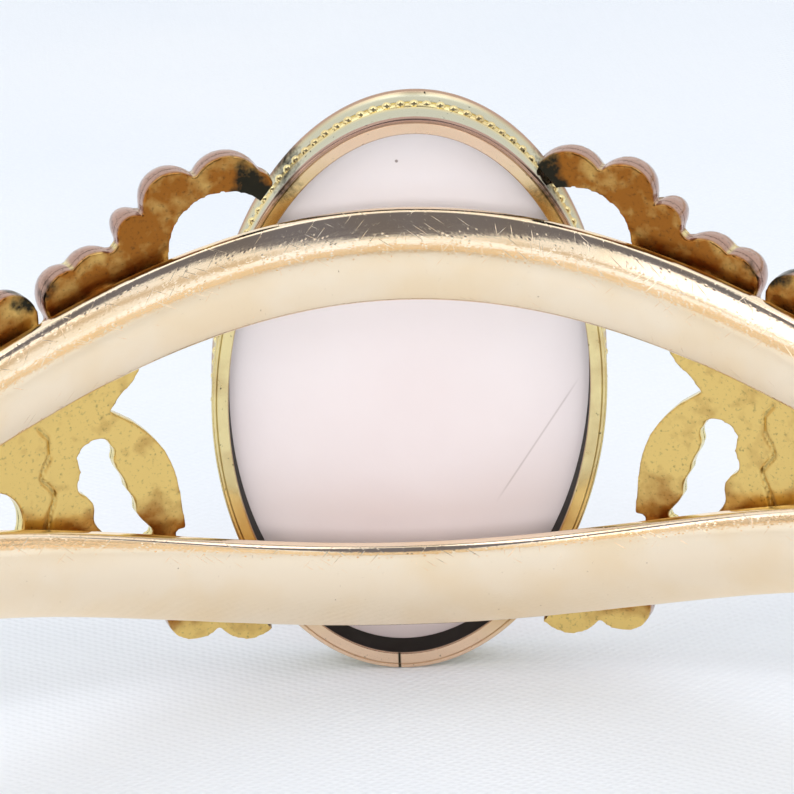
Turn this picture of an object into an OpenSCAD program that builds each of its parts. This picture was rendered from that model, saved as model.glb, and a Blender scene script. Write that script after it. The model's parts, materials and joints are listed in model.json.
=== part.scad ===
// Cameo bangle: an oval carved stone in a deep setting with a beaded wire, carried by
// two half-round rails and pierced leaf scrollwork, with a plain double band behind the wrist.
// The loop's axis stands upright and the cameo faces -Y. The bangle lies on its side, so it
// leans on the foot of its setting and on the lower edge of its back band.

/* [Wrist loop] */
// Radius of the hollow that the wrist goes through
wrist_r = 30.5; // [27:0.5:34]
// Thickness of the rails and of the back band
rail_t = 1.3; // [1.2:0.1:1.8]
// Height of one rail, measured along the wrist
rail_w = 4.4; // [4:0.1:5]
// Height of each rail's middle line where it passes behind the stone
rail_rise = 8.2; // [7.4:0.1:9]
// Angle, seen from the cameo, at which the rails come together
meet_angle = 59; // [54:1:68]
// Lean of the upper rail behind the stone, which turns its inside a little upwards
rail_lean = 1; // [0:1:10]
// Lean of the lower rail behind the stone, which turns its inside downwards
low_lean = 8; // [0:1:12]
// Distance that the lower rail is set in behind the stone, so that its leaning edge clears the leaves
low_in = 0.15; // [0:0.05:0.3]
// Width of the edge between a rail's outside and its round inside
rail_edge = 0.5; // [0.3:0.05:0.6]
// Height of the gentle crown on a rail's outside
rail_crown = 0.3; // [0.1:0.05:0.5]

/* [Setting] */
// Half of the setting's width
set_a = 9; // [8.4:0.1:9.8]
// Half of the setting's height
set_b = 13.8; // [13:0.1:15]
// Depth of the setting from back to front
set_depth = 3.5; // [3.2:0.1:4.4]
// Width of the flat back rim
rim_w = 0.75; // [0.6:0.05:0.9]
// Distance that the setting's back lies outside the rails
set_back = 0.65; // [0.5:0.05:1]
// Height of the setting's middle above the middle between the rails
set_up = 0.45; // [0:0.05:0.8]
// Depth of the stone's back inside the rim
stone_in = 1.6; // [1.2:0.1:2]
// Width of the ledge that carries the stone
ledge_w = 0.3; // [0.2:0.05:0.4]
// Radius of the beaded wire round the setting
wire_r = 0.3; // [0.24:0.01:0.38]

/* [Stone] */
// Rise of the stone's domed front above its edge
dome_h = 1.3; // [0.9:0.1:1.9]
// Height of the carving above the dome
carve_h = 0.75; // [0.5:0.05:1.1]
// Clearance between the stone and its setting
stone_gap = 0.05; // [0.03:0.01:0.1]

/* [Scrollwork] */
// Half of the scrollwork's height beside the setting
leaf_reach = 12.05; // [11.4:0.05:12.8]
// Height of the scrollwork's middle above the middle between the rails
leaf_up = 0.9; // [0.4:0.05:1.2]
// Width of the inner leaf along the loop
leaf_w = 10; // [9.2:0.1:10.8]
// Width of the outer leaf along the loop
tip_w = 8; // [7:0.1:9]
// Thickness of the stamped leaves
leaf_t = 1.4; // [1.1:0.1:1.7]
// Height of the rounded lobes above the leaves' front
lobe_h = 0.8; // [0.5:0.05:1.1]
// Clearance between pieces that are soldered side by side
seam = 0.05; // [0.03:0.01:0.1]

/* [Hidden] */

polished_gold = "#E8CFA4";
gilt = "#C99A3A";
shell_pink = "#F0DCDD";

rail_step = 4;            // degrees between the rails' sections
section_steps = 9;        // steps across a rail's curved inside
crown_steps = 4;          // steps across a rail's crowned outside
oval_steps = 64;          // points round the setting and the stone
cut_deep = 60;            // length of cutting tools, past everything they cut

wire_d = 0.53;            // share of the setting's depth at which the wire runs
wire_out = -wire_r / 3;   // outset of the wire's middle from the nominal oval
heel_d = 0.03;            // share of the depth at which the back rim stands out furthest
heel_out = rim_w * 0.05;  // outset of the back rim there
rim_seat = heel_out + seam;       // outset of the hole that the scrollwork leaves for the setting
back_room = 0.6;          // extra room round the setting behind its back plane
stone_out = rim_w - ledge_w;      // the stone's seat lies this far inside the oval
edge_depth = 0.9 * set_depth;     // depth of the stone's front edge
heart_rise = 1.35;        // height of a rose's heart as a share of its petals'
leaf_out = 0.3;           // the inner leaf's middle lies this share of its width beside the setting
leaf_edge = 0.49;         // outer edge of the inner leaf, as a share of its width
tip_edge = 0.52;          // inner edge of the outer leaf, as a share of its width

// The loop's surfaces
rail_out_r = wrist_r + rail_t;
join_h = (rail_w + seam) / 2;                          // rails lie edge to edge at the back
// a leaning rail's corner moves out this far
lean_out = max(rail_w / 2 * sin(rail_lean), rail_w / 2 * sin(low_lean) - low_in);
leaf_r = rail_out_r + lean_out + seam;                 // back of the leaves
leaf_mid_r = leaf_r + leaf_t / 2;
set_y = rail_out_r + set_back;                         // back plane of the setting

// The pose on the ground: a line from the setting's foot to the back band's lower edge is level
foot_y = set_y + heel_d * set_depth;
foot_z = set_b + heel_out - set_up;
band_y = rail_out_r - rail_crown;
band_z = rail_w;
tilt = atan((foot_z - band_z) / (foot_y + band_y));
lift = band_y * sin(tilt) + band_z * cos(tilt);
crest_y = set_y + edge_depth + dome_h + carve_h * heart_rise;
front_y = crest_y * cos(tilt);
back_y = band_y * cos(tilt) + band_z * sin(tilt);

module posed(up = 0) {
    translate([0, (front_y - back_y) / 2, lift]) rotate([-tilt, 0, 0])
        translate([0, 0, up]) children();
}

// Where the rails run: a share that is 1 behind the stone and 0 where they have come together
function bulge(angle) = abs(angle) < meet_angle ? (1 + cos(180 * angle / meet_angle)) / 2 : 0;
function rail_mid(angle) = join_h + (rail_rise - join_h) * bulge(angle);

// The two sides of a rail's section, from its bottom up and from its top down,
// as [distance in from its outside, distance from its middle line]. The inside is a low arc
function crowned_side() = [for (i = [0 : crown_steps])
    let (share = 2 * i / crown_steps - 1)
    [rail_crown * share * share, rail_w / 2 * share]];
rail_rise_in = rail_t - rail_crown - rail_edge;
arc_r = (rail_w * rail_w / 4 + rail_rise_in * rail_rise_in) / (2 * rail_rise_in);
arc_end = asin(rail_w / 2 / arc_r);
function round_side() = [for (i = [0 : section_steps])
    let (a = arc_end * (1 - 2 * i / section_steps))
    [rail_t - arc_r * (1 - cos(a)), arc_r * sin(a)]];
function rail_section() = concat(crowned_side(), round_side());
function all_but_last(list) = [for (i = [0 : len(list) - 2]) list[i]];

// A section point placed on the loop, turned outwards by the lean
function on_loop(point, angle, side) =
    let (lean = (side > 0 ? rail_lean : -low_lean) * bulge(angle))
    let (inward = point[0] * cos(lean) - point[1] * sin(lean) + (side > 0 ? 0 : low_in * bulge(angle)))
    let (up = point[1] * cos(lean) + point[0] * sin(lean))
    let (r = rail_out_r - inward)
    [r * sin(angle), -r * cos(angle), side * rail_mid(angle) + up];

// A closed skin over rows of points that all have the same number of points
module skin(rows, closed_loop) {
    n = len(rows[0]);
    m = len(rows);
    last = closed_loop ? m - 1 : m - 2;
    walls = [for (i = [0 : last], j = [0 : n - 1], half = [0, 1])
        let (a = i * n + j, b = i * n + (j + 1) % n)
        let (c = (i + 1) % m * n + (j + 1) % n, d = (i + 1) % m * n + j)
        half == 0 ? [a, b, c] : [a, c, d]];
    ends = closed_loop ? [] : [
        [for (j = [n - 1 : -1 : 0]) j],
        [for (j = [0 : n - 1]) (m - 1) * n + j]
    ];
    polyhedron([for (row = rows, p = row) p], concat(walls, ends));
}

module rail(side) {
    steps = ceil(meet_angle / rail_step);
    skin([for (i = [-steps : steps])
        let (angle = i / steps * meet_angle)
        [for (p = rail_section()) on_loop(p, angle, side)]], false);
}

module upper_rail() {
    color(polished_gold) posed() rail(1);
}

module lower_rail() {
    color(polished_gold) posed() rail(-1);
}

// Two half-round reeds in one piece, turned round the back of the wrist
module back_band() {
    gap_angle = atan(seam / wrist_r);
    upper = rail_w / 2;
    section = concat(
        [for (p = all_but_last(crowned_side())) [p[0], p[1] - upper]],
        [for (p = crowned_side()) [p[0], p[1] + upper]],
        [for (p = all_but_last(round_side())) [p[0], p[1] + upper]],
        [for (p = round_side()) [p[0], p[1] - upper]]
    );
    color(polished_gold) posed()
        rotate([0, 0, meet_angle + gap_angle - 90])
            rotate_extrude(angle = 360 - 2 * (meet_angle + gap_angle), $fn = 120)
                polygon([for (p = section) [rail_out_r - p[0], p[1]]]);
}

// The leaves: outlines are drawn flat, then cut out of a curved plate.
// Each lobe is [share along the leaf, share of the reach, radius as a share of the leaf's width]
inner_lobes = [[-0.445, 0.862, 0.165], [-0.190, 0.845, 0.145], [0.000, 0.750, 0.085],
               [0.190, 0.583, 0.145], [0.330, 0.550, 0.130]];
outer_lobes = [[-0.340, 0.500, 0.181], [-0.070, 0.446, 0.156], [0.165, 0.396, 0.131],
               [0.370, 0.342, 0.112]];
// The end that meets the setting, and the round holes, in the same shares
leaf_foot = [[-0.575, 0.858, 0.08]];
leaf_holes = [[-0.42, 0.637, 0.265], [0.135, 0.475, 0.1]];
tip_holes = [[-0.11, -0.267, 0.216], [0.27, 0.02, 0.09]];

// The inner leaf's top half, under its lobes, as [share along the leaf, share of the reach]
inner_top = [[-0.48, 0.83], [-0.445, 0.90], [-0.185, 0.87], [0.02, 0.77], [0.19, 0.62],
             [0.34, 0.56], [0.47, 0.46], [0.49, 0.30], [-0.07, 0.35], [-0.16, 0.63]];
// Its stem and arch between the rails, from the top of the inner edge down and back up the outer edge
inner_mid = [[-0.12, 0.42], [-0.03, 0.29], [0.045, 0.187], [0.11, 0.14], [0.192, 0.09],
             [0.11, 0.042], [0, -0.025], [-0.07, -0.117], [-0.12, -0.217], [-0.142, -0.333],
             [-0.155, -0.467], [0.49, -0.467], [0.535, -0.33], [0.51, -0.275], [0.485, -0.2],
             [0.535, -0.13], [0.495, -0.04], [0.49, 0.025], [0.535, 0.083], [0.49, 0.42]];
// The wavy window inside the arch
arch_window = [[0.187, -0.03], [0.25, -0.014], [0.29, -0.018], [0.33, -0.05], [0.35, -0.09],
               [0.337, -0.16], [0.355, -0.2], [0.30, -0.24], [0.28, -0.29], [0.29, -0.34],
               [0.268, -0.39], [0.23, -0.45], [0.03, -0.45], [0.06, -0.38], [0.09, -0.32],
               [0.117, -0.26], [0.105, -0.23], [0.14, -0.17], [0.169, -0.13], [0.175, -0.08]];
outer_body = [[-0.56, -0.33], [-0.53, 0.36], [-0.34, 0.52], [-0.07, 0.47], [0.165, 0.42],
              [0.37, 0.36], [0.47, 0.25], [0.47, -0.25], [0.37, -0.36], [0.165, -0.42],
              [-0.07, -0.47], [-0.34, -0.52], [-0.53, -0.42]];

function placed(list, w) = [for (p = list) [p[0] * w, p[1] * leaf_reach]];

module discs(list, w) {
    for (p = list)
        translate([p[0] * w, p[1] * leaf_reach]) circle(r = p[2] * w, $fn = 20);
}

module inner_leaf_flat() {
    difference() {
        union() {
            polygon(placed(inner_mid, leaf_w));
            for (side = [1, -1]) scale([1, side]) {
                polygon(placed(inner_top, leaf_w));
                discs(inner_lobes, leaf_w);
                discs(leaf_foot, leaf_w);
            }
        }
        for (side = [1, -1]) scale([1, side]) discs(leaf_holes, leaf_w);
        polygon(placed(arch_window, leaf_w));
    }
}

module outer_leaf_flat() {
    difference() {
        union() {
            polygon(placed(outer_body, tip_w));
            for (side = [1, -1]) scale([1, side]) discs(outer_lobes, tip_w);
        }
        discs(tip_holes, tip_w);
    }
}

module tube_wall(r, wall) {
    difference() {
        cylinder(r = r + wall, h = cut_deep, center = true, $fn = 96);
        cylinder(r = r, h = cut_deep + 2, center = true, $fn = 96);
    }
}

// A flat outline stood up in front of the loop at an angle from the cameo
module stood_up(angle) {
    rotate([0, 0, angle]) rotate([90, 0, 0])
        translate([0, 0, leaf_r / 2]) linear_extrude(height = leaf_r) children();
}

// Rounded lobes on the front of the leaves: [share of the lobe's radius, share of its height]
dome_steps = [[0.92, 0], [0.82, 0.45], [0.55, 0.85], [0.2, 1]];
module lobe_domes(list, w, angle) {
    for (p = list, side = [1, -1])
        rotate([0, 0, angle + asin(p[0] * w / leaf_mid_r)])
            translate([0, -leaf_mid_r, side * p[1] * leaf_reach]) rotate([90, 0, 0]) hull()
                for (step = dome_steps)
                    cylinder(r = p[2] * w * step[0], h = leaf_t / 2 + lobe_h * step[1], $fn = 14);
}

inner_angle = asin((set_a + leaf_out * leaf_w) / leaf_mid_r);
outer_angle = inner_angle + 2 * asin((leaf_edge * leaf_w + tip_edge * tip_w) / 2 / leaf_mid_r);

// The room that the scrollwork leaves for the setting, from one depth outwards
module setting_room(from, out) {
    translate([0, -from, set_up - leaf_up]) rotate([90, 0, 0]) linear_extrude(height = cut_deep)
        scale([set_a + out, set_b + out]) circle(r = 1, $fn = oval_steps);
}

module scroll() {
    difference() {
        union() {
            intersection() {
                stood_up(inner_angle) inner_leaf_flat();
                union() {
                    tube_wall(leaf_r, leaf_t);
                    lobe_domes(inner_lobes, leaf_w, inner_angle);
                }
            }
            intersection() {
                stood_up(outer_angle) outer_leaf_flat();
                union() {
                    tube_wall(leaf_r, leaf_t);
                    lobe_domes(outer_lobes, tip_w, outer_angle);
                }
            }
        }
        setting_room(0, rim_seat);
        intersection() {
            setting_room(0, rim_seat + back_room);
            cube([cut_deep, 2 * set_y, cut_deep], center = true);
        }
    }
}

module left_scroll() {
    color(gilt) posed(leaf_up) scroll();
}

module right_scroll() {
    color(gilt) posed(leaf_up) mirror([1, 0, 0]) scroll();
}

// A point on the oval of the setting, moved outwards square to it
function oval_point(angle, out) =
    let (nx = set_b * cos(angle), nz = set_a * sin(angle))
    let (l = sqrt(nx * nx + nz * nz))
    [set_a * cos(angle) + out * nx / l, set_b * sin(angle) + out * nz / l];

// Rows of points round the oval for a wall section given as [outset, depth]
function oval_rows(section) =
    [for (i = [0 : oval_steps - 1])
        let (angle = 360 * i / oval_steps)
        [for (p = section)
            let (q = oval_point(angle, p[0]))
            [q[0], -set_y - p[1], q[1]]]];

// The setting's wall: flat back rim, two hollow mouldings with the wire between, and the front lip.
// Outsets are from the nominal oval in shares of the rim's width, depths are shares of the setting's depth
back_moulding = [[0, 0.08], [-0.2, 0.16], [-0.28, 0.25], [-0.2, 0.34], [-0.04, 0.43]];
front_moulding = [[-0.07, 0.63], [-0.2, 0.69], [-0.2, 0.77], [-0.03, 0.85], [0.13, 0.89]];
lip = [[0.17, 0.94], [0.08, 0.985], [-0.33, 1], [-0.67, 0.98]];

function deep(list) = [for (p = list) [p[0] * rim_w, p[1] * set_depth]];
function wire_section() = [for (i = [0 : 4])
    let (a = -80 + 40 * i)
    [wire_out + wire_r * cos(a), wire_d * set_depth + wire_r * sin(a)]];

module setting() {
    color(gilt) posed(set_up) skin(oval_rows(concat(
        [[-rim_w, 0], [0, 0], [heel_out, heel_d * set_depth]],
        deep(back_moulding), wire_section(), deep(front_moulding), deep(lip),
        [[-stone_out, edge_depth + stone_gap], [-stone_out, stone_in], [-rim_w, stone_in]]
    )), true);
}

// The stone's body: a flat back, a straight edge and a low dome, in rings at shares of the half axes
module stone_body() {
    levels = [0.2, 0.45, 0.65, 0.8, 0.92];
    seat = stone_in + stone_gap;
    side = -stone_out - stone_gap;
    shoulder = edge_depth - stone_gap;
    rim = [[side, seat], [side, shoulder]];
    rows = [for (i = [0 : oval_steps / 2 - 1])
        let (angle = 720 * i / oval_steps)
        concat(
            [for (p = rim) let (q = oval_point(angle, p[0])) [q[0], -set_y - p[1], q[1]]],
            [for (k = [len(levels) - 1 : -1 : 0])
                let (share = levels[k])
                let (q = oval_point(angle, side) * share)
                [q[0], -set_y - shoulder - dome_h * (1 - share * share), q[1]]]
        )];
    n = len(rows[0]);
    m = len(rows);
    walls = [for (i = [0 : m - 1], j = [0 : n - 2], half = [0, 1])
        let (a = i * n + j, b = a + 1, d = (i + 1) % m * n + j)
        half == 0 ? [a, b, d + 1] : [a, d + 1, d]];
    caps = [[for (i = [0 : m - 1]) i * n], [for (i = [m - 1 : -1 : 0]) i * n + n - 1]];
    polyhedron([for (row = rows, p = row) p], concat(walls, caps));
}

// A place on the dome's surface, given as shares of the stone's half axes
module on_dome(u, v) {
    front = set_y + edge_depth + dome_h * (1 - u * u - v * v);
    translate([u * (set_a - stone_out), -front, v * (set_b - stone_out)]) children();
}

// Carved shapes as half axes in shares of their size, with the height as a share of the carving's
petals = 5;
petal = [0.62, 1, 0.56];
petal_reach = 0.53;
petal_turn = 11;          // turn of the first petal, in degrees
petal_twist = 13;         // twist of each petal about its own middle
heart = [0.42, heart_rise, 0.42];
blade = [0.5, 0.75, 0.36];
blade_tip = [0.05, 0.4, 0.05];
blade_reach = 0.95;

module mound(shape, size, sides) {
    scale([shape[0] * size, shape[1] * carve_h, shape[2] * size]) sphere(r = 1, $fn = sides);
}

// A rose of round petals about a raised heart
module rose(u, v, size) {
    on_dome(u, v) {
        for (k = [0 : petals - 1])
            rotate([0, k * 360 / petals + petal_turn, 0]) translate([petal_reach * size, 0, 0])
                rotate([0, petal_twist, 0]) mound(petal, size, 12);
        mound(heart, size, 12);
    }
}

// A pointed leaf, fullest near its foot
module carved_leaf(u, v, turn, size) {
    on_dome(u, v) rotate([0, turn, 0]) hull() {
        mound(blade, size, 10);
        translate([blade_reach * size, 0, 0]) mound(blade_tip, size, 4);
    }
}

// The spray: roses as [across, up, size], leaves as [across, up, turn, size]
roses = [[0.02, 0.08, 2.7], [-0.3, 0.42, 1.9], [0.34, 0.37, 1.7]];
leaves = [[-0.42, -0.02, 165, 2.5], [0.45, -0.02, 20, 2.5], [-0.3, -0.26, 140, 2.4],
          [0.3, -0.27, 42, 2.4], [0, 0.52, -90, 2.3], [-0.08, -0.42, 110, 2.3],
          [0.16, -0.5, 75, 2.3], [-0.5, 0.22, 200, 1.6], [0.55, 0.2, -15, 1.6]];

module cameo() {
    color(shell_pink) posed(set_up) union() {
        stone_body();
        for (p = roses) rose(p[0], p[1], p[2]);
        for (p = leaves) carved_leaf(p[0], p[1], p[2], p[3]);
    }
}

upper_rail();
lower_rail();
back_band();
left_scroll();
right_scroll();
setting();
cameo();
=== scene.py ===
import json
import math
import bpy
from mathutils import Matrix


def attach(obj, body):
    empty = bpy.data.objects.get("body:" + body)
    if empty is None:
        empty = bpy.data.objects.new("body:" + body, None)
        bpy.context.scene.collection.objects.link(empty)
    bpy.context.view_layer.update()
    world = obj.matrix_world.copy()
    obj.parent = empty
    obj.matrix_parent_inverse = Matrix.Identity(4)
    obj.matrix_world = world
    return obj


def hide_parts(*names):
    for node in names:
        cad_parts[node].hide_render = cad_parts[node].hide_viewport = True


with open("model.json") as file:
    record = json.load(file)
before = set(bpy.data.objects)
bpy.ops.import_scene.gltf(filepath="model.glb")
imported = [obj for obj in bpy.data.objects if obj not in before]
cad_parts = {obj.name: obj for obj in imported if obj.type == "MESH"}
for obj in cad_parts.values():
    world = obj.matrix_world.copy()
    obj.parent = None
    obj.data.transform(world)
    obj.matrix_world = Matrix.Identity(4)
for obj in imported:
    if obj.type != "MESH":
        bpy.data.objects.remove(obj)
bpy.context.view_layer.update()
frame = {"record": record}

from types import SimpleNamespace

import bmesh
import bpy
from bpy.props import FloatProperty, FloatVectorProperty, PointerProperty
from mathutils import Matrix, Vector, kdtree, noise

bl_info = {
    "name": "Cameo Bangle",
    "version": (1, 0, 0),
    "blender": (4, 5, 0),
    "location": "View3D > Sidebar > Cameo Bangle",
    "description": "Dresses the packed bangle: rails, pierced scrollwork, oval setting and carved shell",
    "category": "Object",
}

MM = 0.001
SHELL_IOR = 1.53


# Sizes and colours

def length(name, text, millimetres):
    return FloatProperty(name=name, description=text, default=millimetres * MM,
                         unit="LENGTH", subtype="DISTANCE", precision=5)


def turn(name, text, degrees):
    return FloatProperty(name=name, description=text, default=math.radians(degrees),
                         unit="ROTATION", subtype="ANGLE")


def linear(hex_colour):
    """An sRGB hex value as linear RGBA."""
    parts = [int(hex_colour[i:i + 2], 16) / 255 for i in (1, 3, 5)]
    return tuple(c / 12.92 if c <= 0.04045 else ((c + 0.055) / 1.055) ** 2.4 for c in parts) + (1.0,)


def colour(name, text, hex_colour):
    return FloatVectorProperty(name=name, description=text, default=linear(hex_colour),
                               size=4, min=0.0, max=1.0, subtype="COLOR")


class BangleSizes(bpy.types.PropertyGroup):
    wrist_r: length("Wrist radius", "Radius of the hollow for the wrist", 30.5)
    rail_t: length("Rail thickness", "Thickness of the rails and the back band", 1.3)
    rail_w: length("Rail height", "Height of one rail along the wrist", 4.4)
    rail_rise: length("Rail rise", "Height of each rail's middle line behind the stone", 8.2)
    rail_edge: length("Rail edge", "Flat edge between a rail's outside and its round inside", 0.5)
    rail_crown: length("Rail crown", "Crown on a rail's outside", 0.3)
    rail_lean: turn("Rail lean", "Lean of the upper rail behind the stone", 1)
    low_lean: turn("Lower lean", "Lean of the lower rail behind the stone, the other way", 8)
    low_in: length("Lower set in", "Distance that the lower rail is set in behind the stone", 0.15)
    meet_angle: turn("Meeting angle", "Angle from the cameo at which the rails meet", 59)
    set_a: length("Setting half width", "Half of the setting's width", 9)
    set_b: length("Setting half height", "Half of the setting's height", 13.8)
    set_depth: length("Setting depth", "Depth of the setting from back to front", 3.5)
    rim_w: length("Rim width", "Width of the flat back rim", 0.75)
    set_back: length("Setting back", "Distance that the setting's back lies outside the rails", 0.65)
    set_up: length("Setting height", "Height of the setting's middle", 0.45)
    set_turn: turn("Setting turn", "Turn of the setting about its own middle, as it was soldered on", 4)
    stone_in: length("Stone depth", "Depth of the stone's back inside the rim", 1.6)
    ledge_w: length("Ledge width", "Width of the ledge that carries the stone", 0.3)
    wire_r: length("Bead radius", "Radius of the beads on the wire round the setting", 0.3)
    bead_pitch: length("Bead pitch", "Distance from bead to bead", 0.6)
    dome_h: length("Dome rise", "Rise of the stone's front above its edge", 1.3)
    carve_h: length("Carving height", "Height of the carving above the dome", 0.75)
    stone_gap: length("Stone clearance", "Clearance between the stone and its setting", 0.05)
    leaf_reach: length("Leaf reach", "Half of the scrollwork's height beside the setting", 12.05)
    leaf_up: length("Leaf height", "Height of the scrollwork's middle", 0.9)
    leaf_w: length("Inner leaf width", "Width of the inner leaf along the loop", 10)
    tip_w: length("Outer leaf width", "Width of the outer leaf along the loop", 8)
    valley_t: length("Valley thickness", "Thickness of the leaves between their lobes", 1.0)
    leaf_t: length("Leaf thickness", "Thickness of the stamped leaves", 1.4)
    lobe_h: length("Lobe height", "Height of the rounded lobes above the leaves' front", 0.8)
    seam: length("Seam", "Clearance between pieces that are soldered side by side", 0.05)


class BangleColours(bpy.types.PropertyGroup):
    rail: colour("Rails", "Rolled gold of the rails", "#FDEBD0")
    rail_warm: colour("Rails, worn", "Warmer gold where the rails are worn", "#FAE3C0")
    leaf: colour("Leaves", "Gilt of the leaf backs", "#EBCB7C")
    # leaf_deep serves real browning and the painted shade beside the rails on the leaves, and random patches
    # on the setting
    leaf_deep: colour("Leaves, deep", "Orange brown gilt low on the leaves", "#A0662A")
    lobe: colour("Lobes", "Rose brown of the rounded lobes", "#B59384")
    rim: colour("Rim", "Yellow gold of the setting's rim", "#F0DFA6")
    hollow: colour("Hollows", "Green grey of the setting's hollow mouldings", "#CDCBB4")
    tarnish: colour("Tarnish", "Dark tarnish and old solder", "#2E2C24")
    shell: colour("Shell", "Pale pink of the shell's back", "#F4EEF0")
    # The shell's darker pink: a random tone on the shell and the carving, and painted shade towards the
    # bottom of the shell's back
    shell_pink_and_shade: colour("Shell, deep", "Pinker layers of the shell", "#E3D4D3")
    shell_front: colour("Shell ground", "Rose ground of the carved front", "#C98B78")
    carving: colour("Carving", "Ivory of the carved layer", "#F6EBDD")
    floor: colour("Floor", "Pale cloth under the bangle", "#F4F5F7")


ANGLES = ("rail_lean", "low_lean", "meet_angle", "set_turn")


def in_mm():
    """The sizes in millimetres and radians, with the lengths that follow from them."""
    props = bpy.context.scene.bangle_sizes
    s = SimpleNamespace(**{
        name: getattr(props, name) * (1 if name in ANGLES else 1 / MM)
        for name in BangleSizes.__annotations__})
    s.rail_out_r = s.wrist_r + s.rail_t
    s.join_h = (s.rail_w + s.seam) / 2
    s.leaf_r = s.rail_out_r + s.seam + max(s.rail_w / 2 * math.sin(s.rail_lean),
                                           s.rail_w / 2 * math.sin(s.low_lean) - s.low_in)
    s.leaf_mid_r = s.leaf_r + s.leaf_t / 2
    s.set_y = s.rail_out_r + s.set_back
    s.stone_out = s.rim_w - s.ledge_w
    s.edge_depth = 0.9 * s.set_depth
    s.rim_seat = HEEL_OUT + s.seam
    return s


# The loop's own frame has its axis upright and the cameo towards -Y, in millimetres.
WRIST = next(m for m in frame["record"]["mounts"] if m["name"] == "wrist")
POSE = (Matrix.Translation(WRIST["pos_m"])
        @ Vector((0, 0, 1)).rotation_difference(Vector(WRIST["axis"])).to_matrix().to_4x4()
        @ Matrix.Scale(MM, 4))
HEEL_OUT = 0.0375         # outset of the back rim where it stands out furthest


# Small mesh helpers

def outline_face(bm, points, round_at=(), radius=0.0, segments=3):
    """A face through points, with some of its corners rounded."""
    verts = [bm.verts.new(p) for p in points]
    face = bm.faces.new(verts)
    if round_at:
        bmesh.ops.bevel(bm, geom=[verts[i] for i in round_at], affect="VERTICES", offset=radius,
                        offset_type="OFFSET", segments=segments, profile=0.5, material=-1)
    return face


def turned(bm, axis, angle, steps):
    """Turns everything in a bmesh round an axis through the origin. A full turn leaves no ends."""
    whole = abs(angle - math.tau) < 1e-6
    if whole:
        bmesh.ops.delete(bm, geom=bm.faces[:], context="FACES_ONLY")
    bmesh.ops.spin(bm, geom=bm.verts[:] + bm.edges[:] + bm.faces[:], cent=(0, 0, 0), axis=axis,
                   dvec=(0, 0, 0), angle=angle, steps=steps, use_merge=whole, use_duplicate=False)


def close_up(bm, reach=1e-4):
    """Joins what a turn has left doubled, and turns all faces outwards."""
    bmesh.ops.remove_doubles(bm, verts=bm.verts[:], dist=reach)
    bmesh.ops.recalc_face_normals(bm, faces=bm.faces[:])


def as_object(name, bm):
    """An object at the origin that holds a bmesh, which ends here."""
    mesh = bpy.data.meshes.new(name)
    bm.to_mesh(mesh)
    bm.free()
    obj = bpy.data.objects.new(name, mesh)
    bpy.context.scene.collection.objects.link(obj)
    return obj


def piece(name, bm, node, material, sharp=40):
    """Makes a finished piece of a bmesh in the loop's own frame: at rest, smooth and riding on the part."""
    bm.transform(POSE)
    obj = as_object(name, bm)
    obj.data.shade_smooth()
    obj.data.set_sharp_from_angle(angle=math.radians(sharp))
    obj.data.materials.append(material)
    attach(obj, "root")
    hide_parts(node)


def through_modifiers(bm, *settings):
    """A bmesh after modifiers, each given as (type, values). Removing the mesh removes its object too."""
    obj = as_object("blank", bm)
    for kind, values in settings:
        modifier = obj.modifiers.new(kind.lower(), kind)
        for key, value in values.items():
            setattr(modifier, key, value)
    result = bmesh.new()
    result.from_object(obj, bpy.context.evaluated_depsgraph_get())
    bpy.data.meshes.remove(obj.data)
    return result


def smoothstep(low, high, value):
    """0 at low, 1 at high and smooth between; low may be the higher."""
    t = min(max((value - low) / (high - low), 0), 1)
    return t * t * (3 - 2 * t)


# Materials

def add(tree, kind, links=None, **settings):
    """Adds a shader node. links gives its inputs by name or number, as nodes, sockets or plain values."""
    node = tree.nodes.new("ShaderNode" + kind)
    for key, value in settings.items():
        setattr(node, key, value)
    for key, value in (links or {}).items():
        if isinstance(value, bpy.types.Node):
            value = next(socket for socket in value.outputs if socket.enabled)
        if isinstance(value, bpy.types.NodeSocket):
            tree.links.new(value, node.inputs[key])
        else:
            node.inputs[key].default_value = value
    return node


def new_material(name, *marks):
    """An empty material, its node tree, the place on the piece in metres, and the marks on its mesh."""
    material = bpy.data.materials.new(name)
    material.use_nodes = True
    tree = material.node_tree
    tree.nodes.clear()
    place = add(tree, "TexCoord").outputs["Object"]
    values = [add(tree, "Attribute", attribute_name=mark).outputs["Fac"] for mark in marks]
    return (material, tree, place, *values)


def finish_surface(tree, links):
    """Ends a material with its Principled shader."""
    shader = add(tree, "BsdfPrincipled", links)
    add(tree, "OutputMaterial", {"Surface": shader})


def blended(tree, base, *layers):
    """A colour under layers, each given as (factor, colour)."""
    for factor, tint in layers:
        base = add(tree, "Mix", {0: factor, 6: base, 7: tint}, data_type="RGBA")
    return base


def per_mm(size):
    """The scale of a texture on Object coordinates whose features are size millimetres wide."""
    return 1 / (size * MM)


def scratches(tree, uv, angle, apart, reach, width):
    """Short straight scratches on a map in millimetres: their direction, distance apart, length and width."""
    lengthwise, crosswise = apart * math.sqrt(reach / width), apart * math.sqrt(width / reach)
    laid = add(tree, "Mapping", {"Vector": uv, "Rotation": (0, 0, math.radians(angle)),
                                 "Scale": (lengthwise, crosswise, 1)}, vector_type="TEXTURE")
    cells = add(tree, "TexVoronoi", {"Vector": laid, "Scale": 1.0}, voronoi_dimensions="2D")
    return add(tree, "MapRange", {0: cells.outputs["Distance"], 1: 0.0, 2: reach / lengthwise / 2,
                                  3: 1.0, 4: 0.0})


# Scratches on the rails, as (direction in degrees, distance apart, length), and their width
SCRATCHES = ((35, 1.3, 1.0), (-50, 1.5, 0.9), (80, 1.6, 0.7))
SCRATCH_W = 0.04


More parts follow.
